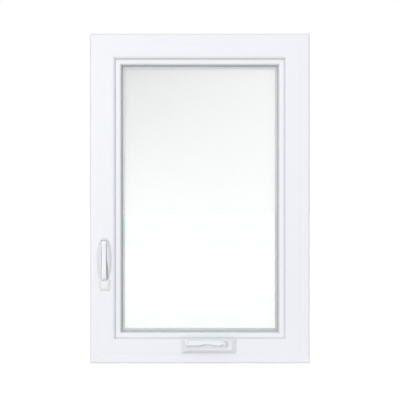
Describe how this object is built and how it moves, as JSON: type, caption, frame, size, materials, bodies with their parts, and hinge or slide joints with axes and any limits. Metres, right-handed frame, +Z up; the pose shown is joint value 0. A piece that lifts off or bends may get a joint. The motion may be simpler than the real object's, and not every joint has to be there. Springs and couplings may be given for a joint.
{
  "type": "casement window",
  "caption": "Outward-opening side-hung casement window: frame, glazed sash on concealed hinges, folding crank operator and lever lock with tie bar.",
  "frame": {"origin": "centre of the sill's underside", "axes": "+Z up, +Y outdoors, +X towards the hinged side, which is on the right seen from indoors"},
  "size_m": [0.6096, 0.1225, 0.9144],
  "materials": {
    "white_vinyl": "satin white uPVC",
    "seal_rubber": "matt EPDM",
    "spacer_grey": "matt grey spacer",
    "clear_glass": "clear float",
    "bright_steel": "stainless, brushed",
    "white_enamel": "satin white enamel",
    "white_nylon": "matt nylon"
  },
  "bodies": {
    "frame": {"frame_sill": "white_vinyl", "frame_head": "white_vinyl", "frame_jamb_lock": "white_vinyl", "frame_jamb_hinge": "white_vinyl", "frame_seal_bottom": "seal_rubber", "frame_seal_top": "seal_rubber", "frame_seal_lock": "seal_rubber", "frame_seal_hinge": "seal_rubber", "hinge_track_bottom": "bright_steel", "hinge_track_top": "bright_steel", "operator_base": "bright_steel", "operator_housing": "white_enamel", "operator_cover": "white_enamel", "lock_escutcheon": "white_enamel", "lock_lever_pin": "bright_steel", "lock_case": "bright_steel", "tie_bar_guide_lower": "white_nylon", "tie_bar_guide_upper": "white_nylon"},
    "sash": {"sash_rail_bottom": "white_vinyl", "sash_rail_top": "white_vinyl", "sash_stile_lock": "white_vinyl", "sash_stile_hinge": "white_vinyl", "glazing_bead_bottom": "white_vinyl", "glazing_bead_top": "white_vinyl", "glazing_bead_lock": "white_vinyl", "glazing_bead_hinge": "white_vinyl", "glass_pane_inner": "clear_glass", "glass_pane_outer": "clear_glass", "glass_spacer_bottom": "spacer_grey", "glass_spacer_top": "spacer_grey", "glass_spacer_lock": "spacer_grey", "glass_spacer_hinge": "spacer_grey", "setting_block_lock": "seal_rubber", "setting_block_hinge": "seal_rubber", "sash_arm_bottom": "bright_steel", "sash_arm_top": "bright_steel", "operator_bracket": "bright_steel", "lock_keeper_lower": "bright_steel", "lock_keeper_upper": "bright_steel"},
    "hinge_links": {"hinge_link_bottom": "bright_steel", "hinge_link_top": "bright_steel"},
    "hinge_shoes": {"hinge_shoe_bottom": "white_nylon", "hinge_shoe_top": "white_nylon"},
    "operator_main_arm": {"operator_arm": "bright_steel"},
    "operator_second_arm": {"operator_link": "bright_steel"},
    "crank": {"operator_worm_spindle": "bright_steel", "crank_hub": "white_enamel", "crank_set_screw": "bright_steel", "crank_fold_pin": "bright_steel"},
    "handle": {"crank_handle": "white_enamel", "crank_knob_rivet": "bright_steel"},
    "knob": {"crank_knob": "white_enamel"},
    "lever": {"lock_lever": "white_enamel"},
    "tie": {"tie_bar": "bright_steel", "lock_roller_lower": "bright_steel", "lock_roller_upper": "bright_steel"}
  },
  "joints": [
    {"name": "link_swing", "type": "hinge", "parent": "frame", "child": "hinge_links", "pos_m": [0.112, 0.0205, 0.023], "axis": [0, 0, 1], "range_deg": [0, 75]},
    {"name": "sash_swing", "type": "hinge", "parent": "hinge_links", "child": "sash", "pos_m": [0.187, 0.0205, 0.031], "axis": [0, 0, 1], "range_deg": [-152, 0]},
    {"name": "shoe_pivot", "type": "hinge", "parent": "sash", "child": "hinge_shoes", "pos_m": [0.262, 0.0205, 0.031], "axis": [0, 0, 1], "range_deg": [0, 77]},
    {"name": "operator_arm_swing", "type": "hinge", "parent": "frame", "child": "operator_main_arm", "pos_m": [0.041, 0.0085, 0.025], "axis": [0, 0, 1], "range_deg": [-80.98, 0]},
    {"name": "operator_elbow", "type": "hinge", "parent": "operator_main_arm", "child": "operator_second_arm", "pos_m": [-0.17492, 0.00257, 0.028], "axis": [0, 0, 1], "range_deg": [0, 136.31]},
    {"name": "crank_spin", "type": "hinge", "parent": "frame", "child": "crank", "pos_m": [0.067, 0.0085, 0.0272], "axis": [0, -0.9272, 0.3746], "range_deg": [-5, 1810]},
    {"name": "handle_fold", "type": "hinge", "parent": "crank", "child": "handle", "pos_m": [0.067, -0.07263, 0.05998], "axis": [0, 0.3746, 0.9272], "range_deg": [0, 165]},
    {"name": "knob_spin", "type": "hinge", "parent": "handle", "child": "knob", "pos_m": [-0.033, -0.06567, 0.05717], "axis": [0, -0.9272, 0.3746], "continuous": true},
    {"name": "lever_turn", "type": "hinge", "parent": "frame", "child": "lever", "pos_m": [-0.2647, -0.0535, 0.334], "axis": [-1, 0, 0], "range_deg": [0, 150]},
    {"name": "tie_bar_slide", "type": "slide", "parent": "frame", "child": "tie", "axis": [0, 0, -1], "range_m": [0, 0.0225]}
  ],
  "couplings": [
    {"joint": "sash_swing", "follows": "link_swing", "ratio": -2},
    {"joint": "shoe_pivot", "follows": "link_swing", "ratio": 1},
    {"joint": "operator_arm_swing", "follows": "link_swing", "ratio": -1.0664},
    {"joint": "operator_elbow", "follows": "link_swing", "ratio": 1.7908},
    {"joint": "crank_spin", "follows": "link_swing", "ratio": 24},
    {"joint": "tie_bar_slide", "follows": "lever_turn", "m_per_rad": 0.0084}
  ]
}
